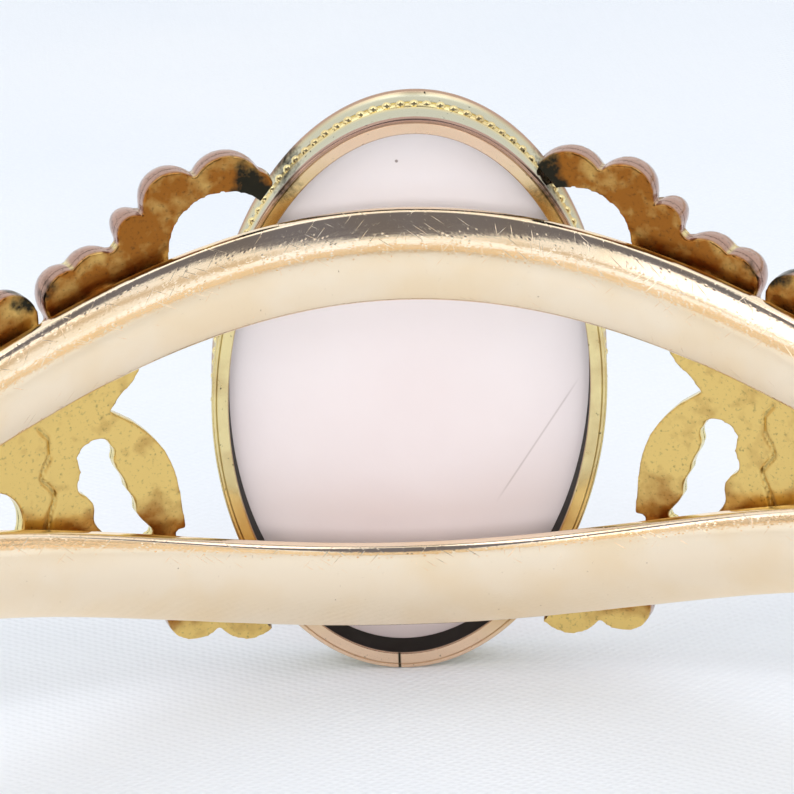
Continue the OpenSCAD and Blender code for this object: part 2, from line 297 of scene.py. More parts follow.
def rolled_gold(colours):
    """Rolled gold, drawn with a low round and polished: a pale warm mirror, dented and scratched by wear."""
    material, tree, place = new_material("Rolled gold, polished and worn")
    uv = add(tree, "UVMap", uv_map="along")
    # Worn patches some 4 mm wide, warmer than the rest, and a few dark pits of 0.1 mm
    worn = add(tree, "TexNoise", {"Vector": place, "Scale": per_mm(4), "Detail": 3.0})
    patches = add(tree, "MapRange", {0: worn, 1: 0.42, 2: 0.68})
    pits = add(tree, "TexNoise", {"Vector": place, "Scale": per_mm(0.16), "Detail": 2.0})
    pitted = add(tree, "MapRange", {0: pits, 1: 0.76, 2: 0.8})
    base = blended(tree, tuple(colours.rail), (patches, tuple(colours.rail_warm)),
                   (pitted, linear("#8A6A4A")))
    # Rubbed streaks along the rail, 0.06 mm wide and some 3 mm long, roughen it a little
    stretch = add(tree, "Mapping", {"Vector": uv, "Scale": (0.35, 14.0, 1.0), "Rotation": (0, 0, 0.06)})
    hairs = add(tree, "TexNoise", {"Vector": stretch, "Scale": 1.0, "Detail": 3.0})
    rough = add(tree, "MapRange", {0: hairs, 1: 0.4, 2: 0.75, 3: 0.09, 4: 0.17})
    # Dents 0.2 mm apart, most of them shallow, and scratches up to 1 mm long in three directions
    dents = add(tree, "TexVoronoi", {"Vector": uv, "Scale": 1 / 0.2}, voronoi_dimensions="2D")
    round_dents = add(tree, "MapRange", {0: dents.outputs["Distance"], 1: 0.0, 2: 0.5, 3: 1.0, 4: 0.0})
    chance = add(tree, "SeparateColor", {0: dents.outputs["Color"]})
    deep = add(tree, "Math", {0: chance, 1: 4.0}, operation="POWER")
    height = add(tree, "Math", {0: round_dents, 1: deep}, operation="MULTIPLY")
    height = add(tree, "Math", {0: height, 1: 0.9}, operation="MULTIPLY")
    for angle, apart, reach in SCRATCHES:
        marks = scratches(tree, uv, angle, apart, reach, SCRATCH_W)
        height = add(tree, "Math", {0: marks, 1: 0.7, 2: height}, operation="MULTIPLY_ADD")
    grain = add(tree, "TexNoise", {"Vector": place, "Scale": per_mm(0.2), "Detail": 3.0})
    height = add(tree, "Math", {0: grain, 1: 0.5, 2: height}, operation="MULTIPLY_ADD")
    bump = add(tree, "Bump", {"Height": height, "Strength": 1.0, "Distance": 0.006 * MM})
    finish_surface(tree, {"Metallic": 1.0, "Base Color": base, "Roughness": rough, "Normal": bump})
    return material


def stamped_gilt(colours):
    """Gilt brass, stamped and chased: satin, browned in clouds and painted browner as shade beside the rails,
    with dark specks and old solder.
    """
    material, tree, place, low, edge, lobe, grime = new_material(
        "Gilt brass, stamped and aged", "browned_and_shaded", "edge", "lobe", "grime")
    # Browner in clouds of 1.6 mm and mottled in them, and browner in bands beside the rails, where the
    # leaves' mark paints shade
    cloud = add(tree, "TexNoise", {"Vector": place, "Scale": per_mm(1.6), "Detail": 5.0})
    clouded = add(tree, "Math", {0: cloud, 1: 1.2, 2: low}, operation="MULTIPLY_ADD")
    mottled = add(tree, "TexNoise", {"Vector": place, "Scale": per_mm(0.45), "Detail": 3.0})
    clouded = add(tree, "Math", {0: mottled, 1: 0.45, 2: clouded}, operation="MULTIPLY_ADD")
    browned_and_shaded = add(tree, "MapRange", {0: clouded, 1: 0.88, 2: 1.55})
    # Edges are pale yellow, and the rounded lobes rose brown
    rims = blended(tree, linear("#E9D99C"), (lobe, tuple(colours.lobe)))
    # Specks of 0.1 mm all over, and more of them in the grime
    specks = add(tree, "TexNoise", {"Vector": place, "Scale": per_mm(0.16), "Detail": 3.0})
    more = add(tree, "Math", {0: low, 1: 0.04, 2: specks}, operation="MULTIPLY_ADD")
    dotted = add(tree, "MapRange", {0: more, 1: 0.58, 2: 0.8, 4: 0.55})
    rough_edge = add(tree, "Math", {0: specks, 1: 0.5, 2: grime}, operation="MULTIPLY_ADD")
    soiled = add(tree, "MapRange", {0: rough_edge, 1: 0.5, 2: 1.02})
    dark = add(tree, "Math", {0: soiled, 1: dotted}, operation="MAXIMUM")
    base = blended(tree, tuple(colours.leaf), (browned_and_shaded, tuple(colours.leaf_deep)), (edge, rims),
                   (dark, tuple(colours.tarnish)))
    rough = add(tree, "MapRange", {0: edge, 3: 0.28, 4: 0.15})
    grain = add(tree, "TexNoise", {"Vector": place, "Scale": per_mm(0.35), "Detail": 4.0})
    bump = add(tree, "Bump", {"Height": grain, "Strength": 0.35, "Distance": 0.05 * MM})
    finish_surface(tree, {"Metallic": 1.0, "Base Color": base, "Roughness": rough, "Normal": bump})
    return material


RIM_JOINT_X = 0.78        # sideways place of the solder joint across the foot of the rim


def setting_gold(colours):
    """Gilt brass, drawn and polished: polished rim, tarnished green grey in its hollows, painted near black
    as shade on the wall inside.
    """
    material, tree, place, hollow, rosy, inside, amber, peach, grime = new_material(
        "Gilt brass, drawn and polished", "hollow", "rosy", "inside", "amber", "peach", "grime")
    cloud = add(tree, "TexNoise", {"Vector": place, "Scale": per_mm(1.5), "Detail": 4.0})
    patches = add(tree, "MapRange", {0: cloud, 1: 0.45, 2: 0.8, 4: 0.4})
    specks = add(tree, "TexNoise", {"Vector": place, "Scale": per_mm(0.2), "Detail": 2.0})
    dotted = add(tree, "MapRange", {0: specks, 1: 0.7, 2: 0.77})
    # The solder joint across the foot of the rim, 0.12 mm wide
    x, y, z = add(tree, "SeparateXYZ", {0: place}).outputs
    near = add(tree, "Math", {0: x, 1: RIM_JOINT_X * MM}, operation="SUBTRACT")
    near = add(tree, "Math", {0: near}, operation="ABSOLUTE")
    joint = add(tree, "MapRange", {0: near, 1: 0.03 * MM, 2: 0.09 * MM, 3: 1.0, 4: 0.0})
    below = add(tree, "Math", {0: z, 1: 2 * MM}, operation="LESS_THAN")
    joint = add(tree, "Math", {0: joint, 1: below}, operation="MULTIPLY")
    outside = add(tree, "Math", {0: 1.0, 1: inside}, operation="SUBTRACT")
    joint = add(tree, "Math", {0: joint, 1: outside}, operation="MULTIPLY")
    dark = add(tree, "Math", {0: joint, 1: dotted}, operation="MAXIMUM")
    # Dark solder and dirt where the scrollwork meets it
    soiled = add(tree, "Math", {0: specks, 1: 0.6, 2: grime}, operation="MULTIPLY_ADD")
    soiled = add(tree, "MapRange", {0: soiled, 1: 0.4, 2: 0.85})
    dark = add(tree, "Math", {0: soiled, 1: dark}, operation="MAXIMUM")
    # amber and peach are painted reflections on the rim's polished face, and rosy is one at the top of the
    # rim
    base = blended(tree, tuple(colours.rim), (patches, tuple(colours.leaf_deep)), (amber, linear("#C08A34")),
                   (peach, linear("#F3D4B6")), (rosy, tuple(colours.lobe)), (hollow, tuple(colours.hollow)),
                   # inside paints shade: near black on the wall inside the rim and in the rim's fine groove
                   (inside, linear("#17120D")), (dark, tuple(colours.tarnish)))
    # The wall inside the rim is painted near black as shade and made matt and not metal, so that it doesn't
    # shine; the rim's groove gets a little of the same
    rough = add(tree, "MapRange", {0: cloud, 3: 0.14, 4: 0.34})
    rough = add(tree, "Math", {0: inside, 1: 0.6, 2: rough}, operation="MULTIPLY_ADD")
    bump = add(tree, "Bump", {"Height": cloud, "Strength": 0.3, "Distance": 0.05 * MM})
    finish_surface(tree, {"Metallic": outside, "Base Color": base, "Roughness": rough, "Normal": bump})
    return material


# The shell's crack as (x, z, slope) and its speck as (x, z), in world millimetres
CRACK = (-5.95, 10.9, math.radians(-57))
SPECK = (0.06, 24.9)


def shell_ground(colours):
    """Helmet shell, ground flat behind and domed in front: satin, pinker in clouds and towards its middle,
    with darker pink painted towards its bottom as shade.
    """
    material, tree, place, front, deep = new_material("Helmet shell, ground satin", "front", "deep")
    # Soft clouds of colour some 6 mm wide
    cloud = add(tree, "TexNoise", {"Vector": place, "Scale": per_mm(7), "Detail": 3.0})
    # deep paints darker pink shade towards the bottom of the back, and a pinker tone towards its middle
    mixed = add(tree, "Math", {0: cloud, 1: 0.5, 2: deep}, operation="MULTIPLY_ADD")
    pink = add(tree, "MapRange", {0: mixed, 1: 0.2, 2: 1.1})
    # A hairline crack and a dark speck on the back
    own = add(tree, "Mapping", {"Vector": place, "Location": (-CRACK[0] * MM, 0, -CRACK[1] * MM)})
    own = add(tree, "Mapping", {"Vector": own, "Rotation": (0, CRACK[2], 0)})
    x, y, z = add(tree, "SeparateXYZ", {0: own}).outputs
    beside = add(tree, "Math", {0: z}, operation="ABSOLUTE")
    line = add(tree, "MapRange", {0: beside, 1: 0.02 * MM, 2: 0.06 * MM, 3: 0.3, 4: 0.0})
    along = add(tree, "Math", {0: x}, operation="ABSOLUTE")
    ends = add(tree, "MapRange", {0: along, 1: 2.4 * MM, 2: 3.7 * MM, 3: 1.0, 4: 0.0})
    crack = add(tree, "Math", {0: line, 1: ends}, operation="MULTIPLY")
    level = add(tree, "VectorMath", {0: place, 1: (1, 0, 1)}, operation="MULTIPLY")
    away = add(tree, "VectorMath", {0: level, 1: (SPECK[0] * MM, 0, SPECK[1] * MM)}, operation="DISTANCE")
    speck = add(tree, "MapRange", {0: away.outputs["Value"], 1: 0.05 * MM, 2: 0.09 * MM, 3: 0.8, 4: 0.0})
    marks = add(tree, "Math", {0: crack, 1: speck}, operation="MAXIMUM")
    base = blended(tree, tuple(colours.shell), (pink, tuple(colours.shell_pink_and_shade)), (marks, linear("#7E6A64")),
                   (front, tuple(colours.shell_front)))
    grain = add(tree, "TexNoise", {"Vector": place, "Scale": per_mm(0.4), "Detail": 3.0})
    bump = add(tree, "Bump", {"Height": grain, "Strength": 0.12, "Distance": 0.05 * MM})
    finish_surface(tree, {"Roughness": 0.32, "IOR": SHELL_IOR, "Base Color": base, "Normal": bump})
    return material


def shell_carving(colours):
    """The shell's ivory layer, carved and rubbed smooth: tool marks about 0.3 mm wide."""
    material, tree, place = new_material("Helmet shell, carved")
    cloud = add(tree, "TexNoise", {"Vector": place, "Scale": per_mm(2.5), "Detail": 3.0})
    pink = add(tree, "MapRange", {0: cloud, 1: 0.45, 2: 0.8})
    base = blended(tree, tuple(colours.carving), (pink, tuple(colours.shell_pink_and_shade)))
    marks = add(tree, "TexNoise", {"Vector": place, "Scale": per_mm(0.3), "Detail": 3.0})
    bump = add(tree, "Bump", {"Height": marks, "Strength": 0.2, "Distance": 0.05 * MM})
    finish_surface(tree, {"Roughness": 0.38, "IOR": SHELL_IOR, "Base Color": base, "Normal": bump})
    return material


def floor_cloth(colours):
    """Close cotton cloth: matt and pale, with a diagonal weave of about 0.45 mm."""
    material, tree, place = new_material("Cotton cloth, close weave")
    diagonal = add(tree, "Mapping", {"Vector": place, "Rotation": (0, 0, math.radians(40)),
                                     "Scale": (per_mm(0.45),) * 3})
    weft, warp = (
        add(tree, "TexWave", {"Vector": diagonal, "Scale": 0.32, "Distortion": 1.5, "Detail": 1.0,
                              "Detail Scale": 0.6}, bands_direction=direction).outputs[1]
        for direction in ("X", "Y"))
    weave = add(tree, "Math", {0: weft, 1: warp}, operation="MULTIPLY")
    bump = add(tree, "Bump", {"Height": weave, "Strength": 0.35, "Distance": 0.08 * MM})
    cloud = add(tree, "TexNoise", {"Vector": place, "Scale": per_mm(30), "Detail": 2.0})
    base = blended(tree, tuple(colours.floor), (cloud, linear("#E9EEF5")))
    finish_surface(tree, {"Roughness": 0.9, "Base Color": base, "Normal": bump})
    return material


# Rails and back band

CROWN_STEPS = 10
ARC_STEPS = 24
OUTER_CORNER_R = 0.12     # rounding of a rail's outer corners
INNER_CORNER_R = 0.2      # rounding of its inner corners
INNER_CORNER_STEPS = 6
RAIL_STEPS = 200          # steps along a rail
BAND_STEPS = 300          # steps along the back band


def crowned_side(s, middle=0.0):
    """A rail's outside from bottom to top, as (radius, height)."""
    return [(s.rail_out_r - s.rail_crown * share * share, middle + s.rail_w / 2 * share)
            for share in (2 * i / CROWN_STEPS - 1 for i in range(CROWN_STEPS + 1))]


def round_side(s, middle=0.0):
    """A rail's inside, a low arc from top to bottom, as (radius, height)."""
    rise = s.rail_t - s.rail_crown - s.rail_edge
    arc_r = (s.rail_w ** 2 / 4 + rise ** 2) / (2 * rise)
    end = math.asin(s.rail_w / 2 / arc_r)
    return [(s.wrist_r + arc_r * (1 - math.cos(a)), middle + arc_r * math.sin(a))
            for a in (end * (1 - 2 * i / ARC_STEPS) for i in range(ARC_STEPS + 1))]


def bulge(s, angle):
    """1 behind the stone and 0 where the rails have come together."""
    return (1 + math.cos(math.pi * angle / s.meet_angle)) / 2 if abs(angle) < s.meet_angle else 0


def swept_section(section, outer, inner, start, sweep, steps):
    """A section swept round the loop. outer and inner number its corners, which are rounded."""
    bm = bmesh.new()
    points = [(r * math.sin(start), -r * math.cos(start), z) for r, z in section]
    outline_face(bm, points, outer, OUTER_CORNER_R)
    verts = [min(bm.verts, key=lambda v: (v.co - Vector(points[i])).length) for i in inner]
    bmesh.ops.bevel(bm, geom=verts, affect="VERTICES", offset=INNER_CORNER_R, offset_type="OFFSET",
                    segments=INNER_CORNER_STEPS, profile=0.5, material=-1)
    turned(bm, (0, 0, 1), sweep, steps)
    close_up(bm)
    return bm


def map_along(bm, s, middles):
    """A UV map in millimetres, along the loop and round each rail's inside."""
    layer = bm.loops.layers.uv.new("along")
    for face in bm.faces:
        for loop in face.loops:
            x, y, z = loop.vert.co
            middle = min(middles, key=lambda m: abs(z - m))
            over = (math.hypot(x, y) - s.wrist_r) / s.rail_w
            loop[layer].uv = (math.atan2(x, -y) * s.rail_out_r, middle + (z - middle) * (1 + over))


def rail(s, side):
    """The upper rail with side 1, or the lower one with side -1. Both rise and lean behind the stone."""
    outer, inner = (0, CROWN_STEPS), (CROWN_STEPS + 1, CROWN_STEPS + ARC_STEPS + 1)
    bm = swept_section(crowned_side(s) + round_side(s), outer, inner,
                       -s.meet_angle, 2 * s.meet_angle, RAIL_STEPS)
    map_along(bm, s, (0.0,))
    for v in bm.verts:
        x, y, up = v.co
        angle = math.atan2(x, -y)
        inward = s.rail_out_r - math.hypot(x, y)
        share = bulge(s, angle)
        lean = (s.rail_lean if side > 0 else -s.low_lean) * share
        set_in = 0 if side > 0 else s.low_in * share
        r = s.rail_out_r - set_in - (inward * math.cos(lean) - up * math.sin(lean))
        middle = s.join_h + (s.rail_rise - s.join_h) * share
        v.co = (r * math.sin(angle), -r * math.cos(angle),
                side * middle + up * math.cos(lean) + inward * math.sin(lean))
    return bm


def back_band(s):
    """Two reeds side by side, in one piece."""
    half = s.rail_w / 2
    section = (crowned_side(s, -half)[:-1] + crowned_side(s, half)
               + round_side(s, half)[:-1] + round_side(s, -half))
    start = s.meet_angle + math.atan(s.seam / s.wrist_r)
    top = 2 * CROWN_STEPS
    bm = swept_section(section, (0, top), (top + 1, len(section) - 1),
                       start, math.tau - 2 * start, BAND_STEPS)
    map_along(bm, s, (-half, half))
    return bm


class BANGLE_OT_rails(bpy.types.Operator):
    """The two half-round rails and the double band behind the wrist"""
    bl_idname = "bangle.rails"
    bl_label = "Rails and Back Band"

    def execute(self, context):
        s = in_mm()
        gold = rolled_gold(context.scene.bangle_colours)
        piece("rail_upper", rail(s, 1), "upper_rail", gold)
        piece("rail_lower", rail(s, -1), "lower_rail", gold)
        piece("band_behind", back_band(s), "back_band", gold)
        return {"FINISHED"}


# Setting

OVAL_STEPS = 256
SPIN_R = 20.0             # radius at which a section is turned before it is laid round the oval
WIRE_D = 0.56             # share of the setting's depth at which the beaded wire runs
SET_ASIDE = -0.13         # sideways place of the setting, to the right in the picture
WIRE_OUT = -0.26          # outset of the wire's middle from the nominal oval
JOINT = (6.5, 10.7)       # where the scrollwork is soldered to it, from its middle
RIM_EDGE = 0.08           # width of the rim's rosy inner edge
WALL_START = 0.14         # depth from which the wall inside the rim is painted black as shade
WALL_CORNER_R = 0.06      # rounding of the wall's corners
# The back rim's outer half as (outset, depth) in mm, with the fine groove in it
RIM_GROOVE = ((-0.24, 0.0), (-0.2, 0.05), (-0.16, 0.0), (-0.02, 0.0))
# The wall's mouldings as (outset in mm, share of the depth)
BACK_MOULDING = ((HEEL_OUT, 0.03), (HEEL_OUT, 0.055), (0.0, 0.08), (-0.1, 0.12), (-0.17, 0.17), (-0.21, 0.22),
                 (-0.21, 0.28), (-0.17, 0.34), (-0.1, 0.39), (-0.03, 0.43))
FRONT_MOULDING = ((-0.05, 0.63), (-0.11, 0.66), (-0.155, 0.7), (-0.165, 0.75), (-0.13, 0.8), (-0.05, 0.845),
                  (0.06, 0.88), (0.11, 0.9))
LIP = ((0.13, 0.94), (0.1, 0.97), (0.02, 0.99), (-0.12, 1.0), (-0.28, 1.0), (-0.42, 0.99), (-0.5, 0.975))


def oval_point(s, angle, out):
    """A point on the setting's oval, moved outwards square to it."""
    normal = Vector((s.set_b * math.cos(angle), s.set_a * math.sin(angle))).normalized()
    return Vector((s.set_a * math.cos(angle), s.set_b * math.sin(angle))) + out * normal


def on_setting(s, side=1):
    """Places what is drawn about the setting's own middle. side -1 is its mirror image."""
    return Matrix.Translation((side * SET_ASIDE, 0, s.set_up)) @ Matrix.Rotation(-side * s.set_turn, 4, "Y")


def laid_round_oval(bm, s):
    """Moves a section that was turned at SPIN_R onto the oval of the setting."""
    for v in bm.verts:
        x, y, z = v.co
        q = oval_point(s, math.atan2(z, x), math.hypot(x, z) - SPIN_R)
        v.co = (q.x, y, q.y)
    bm.transform(on_setting(s))


def wall_section(s):
    """The wall's section as (outset, depth), from the rim's inner corner round the front, and its corners."""
    section = [(-s.rim_w, 0.0), (-s.rim_w + RIM_EDGE, 0.0), *RIM_GROOVE]
    rim_corner = len(section) - 1
    section += [(out, share * s.set_depth) for out, share in BACK_MOULDING]
    wire = 0.8 * s.wire_r
    section += [(WIRE_OUT + wire * math.cos(a), WIRE_D * s.set_depth + wire * math.sin(a))
                for a in map(math.radians, (-80, -40, 0, 40, 80))]
    section += [(out, share * s.set_depth) for out, share in FRONT_MOULDING + LIP]
    ledge = len(section)
    section += [(-s.stone_out, s.edge_depth + s.stone_gap), (-s.stone_out, s.stone_in),
                (-s.rim_w, s.stone_in), (-s.rim_w, WALL_START)]
    return section, (0, rim_corner, ledge, ledge + 2)


def setting_wall(s):
    """The oval wall. Its marks say where it is hollow, rosy, inside, amber, peach or dirty; amber, peach and
    the rosy top of the rim are painted reflections.
    """
    section, corners = wall_section(s)
    bm = bmesh.new()
    outline_face(bm, [(SPIN_R + out, -s.set_y - depth, 0) for out, depth in section], corners, WALL_CORNER_R)
    turned(bm, (0, 1, 0), math.tau, OVAL_STEPS)
    close_up(bm)
    hollow, rosy, inside, amber, peach, grime = (
        bm.verts.layers.float.new(mark) for mark in ("hollow", "rosy", "inside", "amber", "peach", "grime"))
    # By share of the depth: the rim to 0.07, the hollows from 0.14 to 0.84 and between them the wire
    for v in bm.verts:
        x, y, z = v.co
        out, depth = math.hypot(x, z) - SPIN_R, -s.set_y - y
        share, high = depth / s.set_depth, z / SPIN_R
        tall, on_rim = abs(high), share < 0.1
        wire = smoothstep(0.4, 0.44, share) - smoothstep(0.62, 0.66, share)
        v[hollow] = smoothstep(0.07, 0.14, share) - smoothstep(0.84, 0.9, share) - wire if out > -0.45 else 0
        # inside is painted shade: near black on the wall inside the rim, and 0.3 in the rim's fine groove
        if out < -0.5:
            v[inside] = smoothstep(0.04, 0.12, depth)
        elif 0.04 < depth < 0.06:
            v[inside] = 0.3
        if out < -0.7 and depth < 0.15:
            v[rosy] = 0.5
        # Painted reflection: rose on the rim's outer edge towards its top
        elif out > -0.18 and share < 0.07:
            v[rosy] = 0.9 * smoothstep(0.35, 0.75, high)
        elif share > 0.5:
            v[rosy] = 0.9 * smoothstep(0.84, 0.9, share)
        # Painted reflections on the rim's face: peach towards its top and bottom, amber towards its lower
        # flanks and a little towards its upper ones, with a little amber on the wall
        v[peach] = smoothstep(0.7, 0.92, tall) if on_rim else 0.0
        v[amber] = ((0.9 * smoothstep(-0.3, -0.6, high) + 0.4 * smoothstep(0.5, 0.65, high))
                    * smoothstep(0.9, 0.75, tall) * (1.0 if on_rim else 0.3))
        q = oval_point(s, math.atan2(z, x), out)
        near = math.hypot(abs(q.x) - JOINT[0], q.y - JOINT[1])
        v[grime] = 0.9 * smoothstep(1.7, 0.5, near) * (0.5 if depth > 0 or share < 0.05 else 1.0)
    laid_round_oval(bm, s)
    return bm


FINE_STEPS = 1440         # steps by which the wire's length is measured
# A bead's half length as a share of the pitch, its half width and half height as shares of wire_r
BEAD_SHAPE = (0.46, 0.75, 1.05)
BEAD_SPREAD = (1.008, 1.006)       # scale of the beads' oval on the wire's, across and up
BEAD_SEED = 1             # without a seed noise_vector goes by the clock, and each run draws other beads


def milgrain(s):
    """Beads along the wire: flattened grains that touch, a little uneven."""
    places = [oval_point(s, math.tau * i / FINE_STEPS, WIRE_OUT) for i in range(FINE_STEPS)]
    steps = [places[(i + 1) % FINE_STEPS] - places[i] for i in range(FINE_STEPS)]
    round_length = sum(step.length for step in steps)
    count = round(round_length / s.bead_pitch)
    long, wide, high = BEAD_SHAPE[0] * s.bead_pitch, BEAD_SHAPE[1] * s.wire_r, BEAD_SHAPE[2] * s.wire_r
    noise.seed_set(BEAD_SEED)
    bm = bmesh.new()
    walked, done = 0.0, 0
    for place, step in zip(places, steps):
        if done < count and walked >= done * round_length / count:
            uneven = noise.noise_vector((done * 0.77, 3.1, 5.3))
            shape = Matrix.Diagonal((long, wide, high * (1 + 0.25 * uneven.x), 1))
            depth = -s.set_y - WIRE_D * s.set_depth + 0.07 * uneven.y
            at = Matrix.Translation((place.x * BEAD_SPREAD[0], depth, place.y * BEAD_SPREAD[1]))
            turned_to = Matrix.Rotation(-math.atan2(step.y, step.x) + 0.35 * uneven.z, 4, "Y")
            bmesh.ops.create_uvsphere(bm, u_segments=12, v_segments=7, radius=1,
                                      matrix=at @ turned_to @ shape)
            done += 1
        walked += step.length
    bm.transform(on_setting(s))
    return bm


class BANGLE_OT_setting(bpy.types.Operator):
    """The oval wall that holds the stone, with its beaded wire"""
    bl_idname = "bangle.setting"
    bl_label = "Setting and Beads"

    def execute(self, context):
        s = in_mm()
        gold = setting_gold(context.scene.bangle_colours)
        piece("setting_wall", setting_wall(s), "setting", gold)
        piece("beaded_wire", milgrain(s), "setting", gold, sharp=180)
        return {"FINISHED"}


# Stone

BACK_RINGS = (0.0, 0.2, 0.4, 0.6, 0.75, 0.88, 0.96)
DOME_RINGS = (0.985, 0.94, 0.86, 0.75, 0.6, 0.42, 0.22, 0.0)
# The spray on the front: roses as (across, up, size), leaves as (across, up, turn in degrees, size)
ROSES = ((0.02, 0.08, 2.7), (-0.3, 0.42, 1.9), (0.34, 0.37, 1.7))
SPRAY_LEAVES = ((-0.42, -0.02, 165, 2.5), (0.45, -0.02, 20, 2.5), (-0.3, -0.26, 140, 2.4),
                (0.3, -0.27, 42, 2.4), (0, 0.52, -90, 2.3), (-0.08, -0.42, 110, 2.3),
                (0.16, -0.5, 75, 2.3), (-0.5, 0.22, 200, 1.6), (0.55, 0.2, -15, 1.6))


def stone_body(s):
    """The shell without its carving, flat behind and domed in front: a turned shape laid on the oval."""
    seat, shoulder = s.stone_in + s.stone_gap, s.edge_depth - s.stone_gap
    side = -s.stone_out - s.stone_gap
    section = [(share, seat) for share in BACK_RINGS] + [(0.992, seat + 0.04), (1.0, seat + 0.15)]
    section += [(1.0, shoulder - 0.1), (0.996, shoulder - 0.02)]
    section += [(share, shoulder + s.dome_h * (1 - share * share)) for share in DOME_RINGS]
    bm = bmesh.new()
    outline_face(bm, [(share, -s.set_y - depth, 0) for share, depth in section])
    middle = [e for e in bm.edges if all(abs(v.co.x) < 1e-6 for v in e.verts)]
    bmesh.ops.delete(bm, geom=middle, context="EDGES_FACES")
    turned(bm, (0, 1, 0), math.tau, OVAL_STEPS // 2)
    close_up(bm)
    front, deep = (bm.verts.layers.float.new(mark) for mark in ("front", "deep"))
    for v in bm.verts:
        x, y, z = v.co
        share = math.hypot(x, z)
        q = oval_point(s, math.atan2(z, x), side) * share
        v[front] = 1.0 if -s.set_y - y > seat + 0.3 else 0.0
        # deep: darker pink towards the bottom is painted shade under the lower rail, and pinker towards the
        # middle
        v[deep] = max(0.0, 0.55 - 0.6 * q.y / s.set_b - 0.25 * share)
        v.co = (q.x, y, q.y)
    bm.transform(on_setting(s))
    return bm


def dome_place(s, u, v):
    """A place on the dome at shares of its half width and half height."""
    depth = s.edge_depth + s.dome_h * (1 - u * u - v * v)
    return on_setting(s) @ Matrix.Translation(
        (u * (s.set_a - s.stone_out), -s.set_y - depth, v * (s.set_b - s.stone_out)))


def mound(bm, place, axes, segments=16):
    """A rounded lump, the stuff of all the carving."""
    bmesh.ops.create_uvsphere(bm, u_segments=segments, v_segments=segments // 2 + 2, radius=1.0,
                              matrix=place @ Matrix.Diagonal((*axes, 1)))


# A rose's rings of petals as (count, reach, width, rise, lift in degrees), and a leaf's widths to its tip
PETAL_RINGS = ((5, 0.66, 0.42, 0.0, 12), (5, 0.44, 0.33, 0.34, 26), (4, 0.22, 0.24, 0.72, 45))
BLADE_WIDTHS = (0.3, 0.36, 0.33, 0.24, 0.12)
CARVING_VOXEL = 0.11


def rose(bm, s, u, v, size):
    """Three rings of cupped petals round a closed heart."""
    centre = dome_place(s, u, v)
    for ring, (count, reach, width, rise, lift) in enumerate(PETAL_RINGS):
        for k in range(count):
            spin = Matrix.Rotation(math.tau * (k + 0.5 * ring) / count + 0.2, 4, "Y")
            place = (centre @ spin @ Matrix.Translation((reach * size, -rise * s.carve_h, 0))
                     @ Matrix.Rotation(math.radians(-lift), 4, "Z") @ Matrix.Rotation(0.2, 4, "X"))
            mound(bm, place, (width * size * 0.8, 0.42 * s.carve_h, width * size))
    mound(bm, centre, (0.2 * size, 1.35 * s.carve_h, 0.2 * size))


def spray_leaf(bm, s, u, v, turn_deg, size):
    """A pointed leaf of two halves that meet in a sunk midrib."""
    centre = dome_place(s, u, v) @ Matrix.Rotation(math.radians(turn_deg), 4, "Y")
    for half in (-1, 1):
        for k, wide in enumerate(BLADE_WIDTHS):
            place = centre @ Matrix.Translation(((-0.3 + 0.32 * k) * size, 0, half * wide * 0.55 * size))
            mound(bm, place @ Matrix.Rotation(half * 0.45, 4, "Y"),
                  (0.3 * size, (0.75 - 0.08 * k) * s.carve_h, wide * 0.52 * size), 12)


def carved_spray(s):
    """The roses and leaves, melted together as if cut from one layer."""
    bm = bmesh.new()
    for u, v, size in ROSES:
        rose(bm, s, u, v, size)
    for u, v, turn_deg, size in SPRAY_LEAVES:
        spray_leaf(bm, s, u, v, turn_deg, size)
    return through_modifiers(
        bm, ("REMESH", {"mode": "VOXEL", "voxel_size": CARVING_VOXEL}),
        ("SMOOTH", {"factor": 0.5, "iterations": 2}))


class BANGLE_OT_stone(bpy.types.Operator):
    """The shell: its smooth body, flat behind, and the spray carved on its front"""
    bl_idname = "bangle.stone"
    bl_label = "Carved Shell"

    def execute(self, context):
        s = in_mm()
        colours = context.scene.bangle_colours
        piece("shell_body", stone_body(s), "cameo", shell_ground(colours))
        piece("carved_spray", carved_spray(s), "cameo", shell_carving(colours), sharp=180)
        return {"FINISHED"}


# Scrollwork

# Lobes as (share along the leaf, share of the reach, radius as a share of the leaf's width)
INNER_LOBES = ((-0.445, 0.862, 0.165), (-0.19, 0.845, 0.145), (0.0, 0.75, 0.085),
               (0.19, 0.583, 0.145), (0.33, 0.55, 0.13))
OUTER_LOBES = ((-0.34, 0.5, 0.181), (-0.07, 0.446, 0.156), (0.165, 0.396, 0.131), (0.37, 0.342, 0.112))
LEAF_FOOT = ((-0.575, 0.858, 0.08),)
LEAF_HOLES = ((-0.42, 0.637, 0.265), (0.135, 0.475, 0.1))
TIP_HOLES = ((-0.11, -0.267, 0.216), (0.27, 0.02, 0.09))
# Outlines as (share along the leaf, share of the reach)
INNER_TOP = ((-0.48, 0.83), (-0.445, 0.9), (-0.185, 0.87), (0.02, 0.77), (0.19, 0.62), (0.34, 0.56),
             (0.47, 0.46), (0.49, 0.3), (-0.07, 0.35), (-0.16, 0.63))
INNER_MID = ((-0.12, 0.42), (-0.03, 0.29), (0.045, 0.187), (0.11, 0.14), (0.175, 0.08), (0.11, 0.042),
             (0.055, 0.01), (0, -0.035), (-0.045, -0.08), (-0.085, -0.13), (-0.11, -0.18), (-0.128, -0.225),
             (-0.14, -0.28), (-0.148, -0.335), (-0.155, -0.4), (-0.165, -0.467),
             (0.5, -0.467), (0.528, -0.34), (0.508, -0.29), (0.48, -0.235), (0.47, -0.205), (0.5, -0.165),
             (0.535, -0.13), (0.52, -0.09), (0.485, -0.045), (0.482, 0), (0.483, 0.03), (0.53, 0.08),
             (0.49, 0.42))
